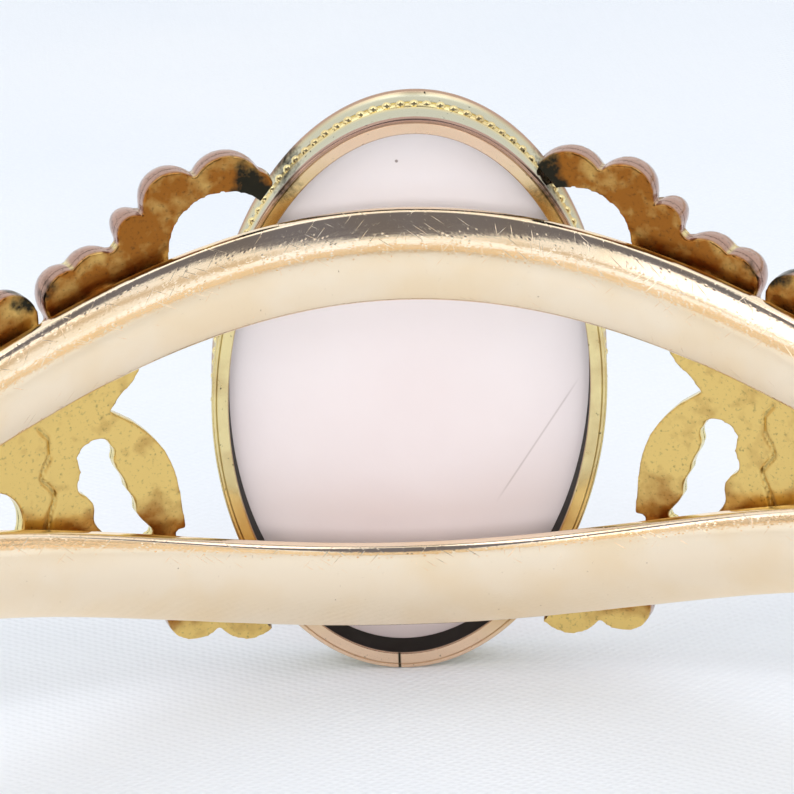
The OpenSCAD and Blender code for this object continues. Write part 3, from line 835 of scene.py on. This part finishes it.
ARCH_WINDOW = ((0.19, -0.035), (0.23, -0.024), (0.27, -0.023), (0.318, -0.042), (0.35, -0.078),
               (0.338, -0.12), (0.335, -0.145), (0.355, -0.19), (0.35, -0.225), (0.31, -0.25),
               (0.28, -0.285), (0.275, -0.315), (0.287, -0.345), (0.272, -0.38), (0.245, -0.41),
               (0.22, -0.47), (0.0, -0.47), (0.0, -0.44), (0.045, -0.4), (0.074, -0.36),
               (0.075, -0.325), (0.085, -0.295), (0.118, -0.25), (0.12, -0.225), (0.135, -0.195),
               (0.157, -0.165), (0.172, -0.125), (0.163, -0.1), (0.165, -0.075), (0.185, -0.055))
OUTER_BODY = ((-0.56, -0.33), (-0.53, 0.36), (-0.34, 0.52), (-0.07, 0.47), (0.165, 0.42), (0.37, 0.36),
              (0.47, 0.25), (0.47, -0.25), (0.37, -0.36), (0.165, -0.42), (-0.07, -0.47), (-0.34, -0.52),
              (-0.53, -0.42))
SEAM_LINE = INNER_MID[16:-1]
LEAF_OUT = 0.3            # the inner leaf's middle lies this share of its width beside the setting
LEAF_EDGE = 0.49          # outer edge of the inner leaf, as a share of its width
TIP_EDGE = 0.52           # inner edge of the outer leaf, as a share of its width
BACK_ROOM = 0.6           # extra room round the setting behind its back plane
LEAF_VOXEL = 0.12
LEFT_RAISED = 0.32        # the left side's top lobes stand this much higher than the right side's
FOOT_RAISED = 0.8         # the left side's lowest lobes are raised by this share of it
FOOT_INWARD = 0.45        # the right side's lowest lobes stand this much nearer to the setting


def prism(bm, points, near, far):
    """A flat outline of (across, up), thickened from one depth to another."""
    face = outline_face(bm, [(x, near, z) for x, z in points])
    grown = bmesh.ops.extrude_face_region(bm, geom=[face])["geom"]
    raised = [g for g in grown if isinstance(g, bmesh.types.BMVert)]
    bmesh.ops.translate(bm, verts=raised, vec=(0, far - near, 0))


def disc(bm, x, z, r, near, far, segments=48):
    """A round plate about (x, z)."""
    turns = [math.tau * i / segments for i in range(segments)]
    prism(bm, [(x + r * math.cos(a), z + r * math.sin(a)) for a in turns], near, far)


def both_ways(points):
    """An outline and its mirror image below the middle."""
    return (points, tuple((x, -z) for x, z in points))


def leaf_angles(s):
    """The angles from the cameo at which the inner and the outer leaf have their middles."""
    inner = math.asin((s.set_a + LEAF_OUT * s.leaf_w) / s.leaf_mid_r)
    outer = inner + 2 * math.asin((LEAF_EDGE * s.leaf_w + TIP_EDGE * s.tip_w) / 2 / s.leaf_mid_r)
    return inner, outer


def leaf_blanks(s, outlines, lobes, extra, holes, cuts, width):
    """A flat leaf with its holes cut through, evenly meshed for shaping."""
    solid, cutter = bmesh.new(), bmesh.new()
    for points in outlines:
        prism(solid, [(x * width, z * s.leaf_reach) for x, z in points], 0, s.leaf_t)
    for x, z, r in lobes + extra:
        for side in (1, -1):
            disc(solid, x * width, side * z * s.leaf_reach, r * width, 0, s.leaf_t)
    for x, z, r in holes:
        disc(cutter, x * width, z * s.leaf_reach, r * width, -1, s.leaf_t + 1)
    for points in cuts:
        prism(cutter, points, -1, s.leaf_t + 1)
    for bm in (solid, cutter):
        bmesh.ops.recalc_face_normals(bm, faces=bm.faces[:])
    cutter = as_object("cutter", cutter)
    result = through_modifiers(
        solid,
        ("BOOLEAN", {"operation": "DIFFERENCE", "object": cutter, "solver": "EXACT", "use_self": True}),
        ("REMESH", {"mode": "VOXEL", "voxel_size": LEAF_VOXEL}),
        ("SMOOTH", {"factor": 0.5, "iterations": 2}))
    bpy.data.meshes.remove(cutter.data)
    return result


def setting_cut(s, inner_angle, side):
    """The setting's oval as the flat inner leaf sees it, kept a little small."""
    out = s.rim_seat - 0.25
    points = []
    for i in range(65):
        q = oval_point(s, math.pi * (i / 64 - 0.5), out)
        q = on_setting(s, side) @ Vector((q.x, 0, q.y))
        angle = math.asin(q.x / s.leaf_mid_r)
        points.append((s.leaf_mid_r * math.sin(angle - inner_angle), q.z - s.leaf_up))
    return points


def shaped(bm, s, lobes, width):
    """Rounds the lobes' fronts and thins the leaf between them. Leaves each vertex's depth in its y."""
    tree = kdtree.KDTree(len(bm.verts))
    for v in bm.verts:
        if abs(v.normal.y) < 0.6:
            tree.insert(v.co * 1.0, v.index)
    tree.balance()
    full = s.leaf_t + s.lobe_h
    edge_layer = bm.verts.layers.float.new("edge")
    lobe_layer = bm.verts.layers.float.new("lobe")
    centres = [(lx * width, side * lz * s.leaf_reach, lr * width) for lx, lz, lr in lobes for side in (1, -1)]
    for v in bm.verts:
        x, depth, z = v.co
        share = min(max(depth / s.leaf_t, 0), 1)
        groove, reach = 0.0, []
        for cx, cz, r in centres:
            dx, dz = x - cx, z - cz
            reach.append(math.hypot(dx, dz) / r)
            if reach[-1] < 3.5 and share > 0.5:
                # A chased vein from the lobe's middle towards the leaf's root
                root = Vector((0.05 * width - cx, -0.65 * cz)).normalized()
                along, aside = dx * root.x + dz * root.y, abs(dx * root.y - dz * root.x)
                if -0.3 * r < along < 3.2 * r:
                    groove = max(groove, 0.3 * math.exp(-(aside / 0.16) ** 2)
                                 * smoothstep(-0.3 * r, 0.3 * r, along))
        nearest, second = sorted(reach)[:2]
        swell = math.sqrt(1 - nearest ** 2.2) if nearest < 1 else 0.0
        thick = s.valley_t + (full - s.valley_t) * swell
        near = tree.find(v.co)[2] if share > 0.5 else 0
        rounding = 1 - 0.3 * (1 - smoothstep(0, 0.7, near)) * (1 - swell) if share > 0.5 else 1
        v[edge_layer] = smoothstep(0.06, 0.16, share)
        v[lobe_layer] = smoothstep(1.25, 1.05, nearest) * smoothstep(0.98, 1.12, second)
        v.co.y = share * (thick * rounding - groove * share)


def bent(bm, s, angle, side, raised):
    """Bends a flat leaf round the loop at an angle from the cameo, clear of the setting. raised lifts it."""
    for v in bm.verts:
        x, depth, z = v.co
        turn_to = angle + math.asin(x / s.leaf_mid_r)
        r = s.leaf_r + depth
        foot = smoothstep(-0.5, -0.75, z / s.leaf_reach)
        up = raised * max(smoothstep(0.3, 0.75, z / s.leaf_reach), FOOT_RAISED * foot)
        inward = FOOT_INWARD * foot * (1 - side) / 2
        v.co = (r * math.sin(turn_to) - inward, -r * math.cos(turn_to), z + s.leaf_up + up)
    placed = on_setting(s, side)
    for v in bm.verts:
        x, y, z = placed.inverted() @ v.co
        room = s.rim_seat + BACK_ROOM * smoothstep(-s.set_y - 0.05, -s.set_y + 0.35, y)
        a, b = s.set_a + room, s.set_b + room
        for _ in range(3):
            inside = (x / a) ** 2 + (z / b) ** 2 - 1
            if inside >= 0 or x <= -1:
                break
            gx, gz = 2 * x / a ** 2, 2 * z / b ** 2
            step = -inside / (gx * gx + gz * gz)
            x, z = x + step * gx, z + step * gz
        v.co = placed @ Vector((x, y, z))


def to_line(p, points):
    """Distance from a point to a line through points."""
    best = 1e9
    for a, b in zip(points, points[1:]):
        run = b - a
        t = min(max((p - a).dot(run) / run.length_squared, 0), 1)
        best = min(best, (p - a - run * t).length)
    return best


# Old solder as (distance along the loop, height), at the setting and where the two leaves meet
SOLDER_AT_SETTING = Vector((6.7, 11.4))
SOLDER_AT_TIP = Vector((17.1, 8.5))
SEAM_SINK = 0.14          # depth to which the seam between the leaves is sunk


def aged(bm, s, inner_angle):
    """Marks where the leaves are browned or painted with shade beside the rails, soldered or tarnished, and
    sinks the seam between them.
    """
    browned_and_shaded, grime = (bm.verts.layers.float.new(mark) for mark in ("browned_and_shaded", "grime"))
    edge = bm.verts.layers.float["edge"]
    seam = [Vector(((inner_angle + math.asin(x * s.leaf_w / s.leaf_mid_r)) * s.leaf_r,
                    z * s.leaf_reach + s.leaf_up)) for x, z in SEAM_LINE]
    for v in bm.verts:
        x, y, z = v.co
        along = math.atan2(x, -y) * s.leaf_r
        blotch = noise.noise(v.co * 0.8) * 0.5 + noise.noise(v.co * 2.3) * 0.3
        # Painted shade: browner from just under the upper rail upwards and in a band from below the middle
        # down to the lower rail; the blotches are real browning
        v[browned_and_shaded] = (0.7 * smoothstep(4.5, 9, z) + 0.9 * smoothstep(-1.5, -6, z) * smoothstep(-10.5, -8.5, z)
                      + 0.5 * blotch)
        flat = Vector((along, z))
        near_seam = to_line(flat, seam) if abs(along - seam[3].x) < 2 and abs(z) < 8 else 9.0
        blot = smoothstep(1.9, 0.4, (flat - SOLDER_AT_SETTING).length + 1.6 * blotch)
        joint = smoothstep(1.3, 0.3, (flat - SOLDER_AT_TIP).length + 1.4 * blotch)
        sunk = 0.45 * smoothstep(0.13, 0.03, near_seam) * (1 - v[edge])
        v[grime] = min(1.0, sunk + 0.85 * blot + 0.8 * joint)
        if near_seam < 0.3 and v[edge] < 0.5:
            v.co += Vector((x, y, 0)).normalized() * SEAM_SINK * math.exp(-(near_seam / 0.1) ** 2)


def leaves(s, side, raised):
    """The scrollwork at the left of the setting, or the right one's mirror image with side -1."""
    inner_angle, outer_angle = leaf_angles(s)
    whole = bmesh.new()
    inner_holes = tuple((x, way * z, r) for x, z, r in LEAF_HOLES for way in (1, -1))
    window = [(x * s.leaf_w, z * s.leaf_reach) for x, z in ARCH_WINDOW]
    inner = leaf_blanks(s, both_ways(INNER_TOP) + (INNER_MID,), INNER_LOBES, LEAF_FOOT, inner_holes,
                        (window, setting_cut(s, inner_angle, side)), s.leaf_w)
    outer = leaf_blanks(s, (OUTER_BODY,), OUTER_LOBES, (), TIP_HOLES, (), s.tip_w)
    parts = ((inner, INNER_LOBES, s.leaf_w, inner_angle), (outer, OUTER_LOBES, s.tip_w, outer_angle))
    for bm, lobes, width, angle in parts:
        bm.normal_update()
        bm.verts.index_update()
        shaped(bm, s, lobes, width)
        bent(bm, s, angle, side, raised)
        mesh = bpy.data.meshes.new("leaf")
        bm.to_mesh(mesh)
        bm.free()
        whole.from_mesh(mesh)
        bpy.data.meshes.remove(mesh)
    aged(whole, s, inner_angle)
    return whole


class BANGLE_OT_scrollwork(bpy.types.Operator):
    """The pierced leaves at both sides of the setting"""
    bl_idname = "bangle.scrollwork"
    bl_label = "Leaf Scrollwork"

    def execute(self, context):
        s = in_mm()
        gilt = stamped_gilt(context.scene.bangle_colours)
        left = leaves(s, 1, LEFT_RAISED)
        right = leaves(s, -1, 0)
        bmesh.ops.scale(right, vec=(-1, 1, 1), verts=right.verts[:])
        for bm in (left, right):
            bmesh.ops.recalc_face_normals(bm, faces=bm.faces[:])
        piece("leaves_left", left, "left_scroll", gilt, sharp=60)
        piece("leaves_right", right, "right_scroll", gilt, sharp=60)
        return {"FINISHED"}


# Stage

AIM = Vector((0, -32.45, 0.45))    # the point of the loop's own frame that the camera is set by
DISTANCE = 252.76
ELEVATION = math.radians(24.74)
AZIMUTH = math.radians(-0.84)
ROLL = math.radians(-2.24)
LENS = 250.96
SENSOR = 36.0
FRAME_SHIFT = (-9.4, 2.5)          # pixels by which the aim lies beside the picture's middle
MM_PER_PIXEL = 0.04566


def camera(context):
    """The camera that took the picture, set by the loop's own frame."""
    back = Vector((math.sin(AZIMUTH) * math.cos(ELEVATION), math.cos(AZIMUTH) * math.cos(ELEVATION),
                   math.sin(ELEVATION)))
    side = Vector((0, 0, 1)).cross(back).normalized()
    up = back.cross(side)
    right = side * math.cos(ROLL) + up * math.sin(ROLL)
    top = up * math.cos(ROLL) - side * math.sin(ROLL)
    place = AIM + back * DISTANCE + (right * FRAME_SHIFT[0] + top * FRAME_SHIFT[1]) * MM_PER_PIXEL
    turn_matrix = Matrix((right, top, back)).transposed().to_4x4()
    data = bpy.data.cameras.new("camera")
    data.lens, data.sensor_width = LENS, SENSOR
    data.clip_start, data.clip_end = 0.01, 20
    data.dof.use_dof = False
    obj = bpy.data.objects.new("camera", data)
    turned_pose = POSE.to_quaternion().to_matrix().to_4x4()
    obj.matrix_world = Matrix.Translation(POSE @ place) @ turned_pose @ turn_matrix
    context.scene.collection.objects.link(obj)
    context.scene.camera = obj


def area_light(context, name, place, size, power):
    """A soft light that points at the bangle. Metal doesn't mirror it, as the sky holds what it mirrors."""
    data = bpy.data.lights.new(name, "AREA")
    data.shape, data.size, data.size_y = "RECTANGLE", size[0], size[1]
    data.energy = power
    obj = bpy.data.objects.new(name, data)
    obj.location = place
    obj.rotation_euler = (Vector((0, 0, 0.01)) - Vector(place)).to_track_quat("-Z", "Y").to_euler()
    obj.visible_glossy = False
    context.scene.collection.objects.link(obj)


def sky(context):
    """Pale studio walls all round. Polished metal also sees the dark room behind the camera."""
    world = bpy.data.worlds.new("studio")
    context.scene.world = world
    world.use_nodes = True
    tree = world.node_tree
    tree.nodes.clear()
    angle = math.radians
    soft = {"interpolation_type": "SMOOTHSTEP"}
    times, less = {"operation": "MULTIPLY"}, {"operation": "SUBTRACT"}
    ray = add(tree, "TexCoord").outputs["Generated"]
    x, y, z = add(tree, "SeparateXYZ", {0: ray}).outputs
    height = add(tree, "Math", {0: z}, operation="ARCSINE")
    across = add(tree, "Math", {0: x, 1: y}, operation="ARCTAN2")
    aside = add(tree, "Math", {0: across}, operation="ABSOLUTE")
    # The room is dark from just under eye level to high above the camera, and less deep to the sides
    low_edge = add(tree, "MapRange", {0: aside, 1: angle(4), 2: angle(24), 3: angle(-4), 4: angle(13)},
                   **soft)
    high_edge = add(tree, "MapRange", {0: aside, 1: angle(10), 2: angle(45), 3: angle(70), 4: angle(38)},
                    **soft)
    over_low = add(tree, "Math", {0: height, 1: low_edge}, **less)
    over_high = add(tree, "Math", {0: height, 1: high_edge}, **less)
    zone = add(tree, "MapRange", {0: over_low, 1: angle(-2), 2: angle(3)}, **soft)
    under = add(tree, "MapRange", {0: over_high, 1: angle(-8), 2: angle(8), 3: 1.0, 4: 0.0}, **soft)
    ahead = add(tree, "MapRange", {0: aside, 1: angle(60), 2: angle(85), 3: 1.0, 4: 0.0}, **soft)
    for limit in (under, ahead):
        zone = add(tree, "Math", {0: zone, 1: limit}, **times)
    # Below it the far end of the table lies in a warm shade to the left and right, under low bright windows
    lift = add(tree, "MapRange", {0: across, 1: angle(-40), 2: angle(-12), 3: angle(12), 4: 0.0}, **soft)
    over_band = add(tree, "Math", {0: height, 1: lift}, **less)
    band = add(tree, "MapRange", {0: over_band, 1: angle(-10), 2: angle(-7)}, **soft)
    band_end = add(tree, "MapRange", {0: over_band, 1: angle(-3), 2: 0.0, 3: 1.0, 4: 0.0}, **soft)
    beside = add(tree, "MapRange", {0: aside, 1: angle(8), 2: angle(18)}, **soft)
    for limit in (band_end, beside):
        band = add(tree, "Math", {0: band, 1: limit}, **times)
    right_glow = add(tree, "MapRange", {0: across, 1: angle(20), 2: angle(34)}, **soft)
    left_glow = add(tree, "MapRange", {0: across, 1: angle(-40), 2: angle(-30), 3: 1.0, 4: 0.0}, **soft)
    glow = add(tree, "Math", {0: right_glow, 1: left_glow}, operation="MAXIMUM")
    glow_start = add(tree, "MapRange", {0: over_band, 1: angle(-3), 2: 0.0}, **soft)
    glow_end = add(tree, "MapRange", {0: aside, 1: angle(60), 2: angle(80), 3: 1.0, 4: 0.0}, **soft)
    for limit in (glow_start, glow_end):
        glow = add(tree, "Math", {0: glow, 1: limit}, **times)
    paths = add(tree, "LightPath")
    tone = blended(tree, linear("#FFFFFF"), (band, linear("#D9C8B2")), (glow, (1.9, 1.9, 1.95, 1.0)),
                   (zone, linear("#74747F")), (paths.outputs["Is Diffuse Ray"], linear("#E4E8ED")),
                   (paths.outputs["Is Camera Ray"], linear("#E2E6EC")))
    background = add(tree, "Background", {"Color": tone, "Strength": 1.0})
    add(tree, "OutputWorld", {"Surface": background})


# Lights as (name, place, size in metres, watts)
LIGHTS = (("left_window", (0.35, 0.12, 0.22), (0.16, 0.3), 0.45),
          ("right_window", (-0.35, 0.12, 0.22), (0.16, 0.3), 0.45),
          ("high_fill", (0.0, 0.3, 0.3), (0.2, 0.2), 0.3),
          ("front_fill", (0.0, 0.5, 0.12), (0.3, 0.1), 1.0))
FLOOR_HALF = 1.5          # half of the floor's width in metres
FLOOR_END = 0.17          # distance in metres from the bangle to the floor's edge on the camera's side


class BANGLE_OT_stage(bpy.types.Operator):
    """The camera, the pale cloth under the bangle, and soft studio light"""
    bl_idname = "bangle.stage"
    bl_label = "Stage"

    def execute(self, context):
        camera(context)
        bm = bmesh.new()
        bmesh.ops.create_grid(bm, x_segments=4, y_segments=4, size=FLOOR_HALF)
        bmesh.ops.translate(bm, verts=bm.verts[:], vec=(0, FLOOR_END - FLOOR_HALF, 0))
        floor = as_object("floor", bm)
        floor.data.materials.append(floor_cloth(context.scene.bangle_colours))
        for light in LIGHTS:
            area_light(context, *light)
        sky(context)
        context.scene.view_settings.view_transform = "Standard"
        return {"FINISHED"}


# Panel and run

STEPS = ("stage", "rails", "setting", "stone", "scrollwork")


class BANGLE_PT_panel(bpy.types.Panel):
    """Lists the steps that dress the bangle"""
    bl_label = "Cameo Bangle"
    bl_idname = "BANGLE_PT_panel"
    bl_space_type = "VIEW_3D"
    bl_region_type = "UI"
    bl_category = "Cameo Bangle"

    def draw(self, context):
        for step in STEPS:
            self.layout.operator("bangle." + step)
        for group in (context.scene.bangle_sizes, context.scene.bangle_colours):
            for name in group.__annotations__:
                self.layout.prop(group, name)


CLASSES = (BangleSizes, BangleColours, BANGLE_OT_rails, BANGLE_OT_setting, BANGLE_OT_stone,
           BANGLE_OT_scrollwork, BANGLE_OT_stage, BANGLE_PT_panel)


def register():
    for cls in CLASSES:
        bpy.utils.register_class(cls)
    bpy.types.Scene.bangle_sizes = PointerProperty(type=BangleSizes)
    bpy.types.Scene.bangle_colours = PointerProperty(type=BangleColours)


def unregister():
    del bpy.types.Scene.bangle_sizes
    del bpy.types.Scene.bangle_colours
    for cls in reversed(CLASSES):
        bpy.utils.unregister_class(cls)


def main():
    register()
    for step in STEPS:
        getattr(bpy.ops.bangle, step)()


if __name__ == "__main__":
    main()
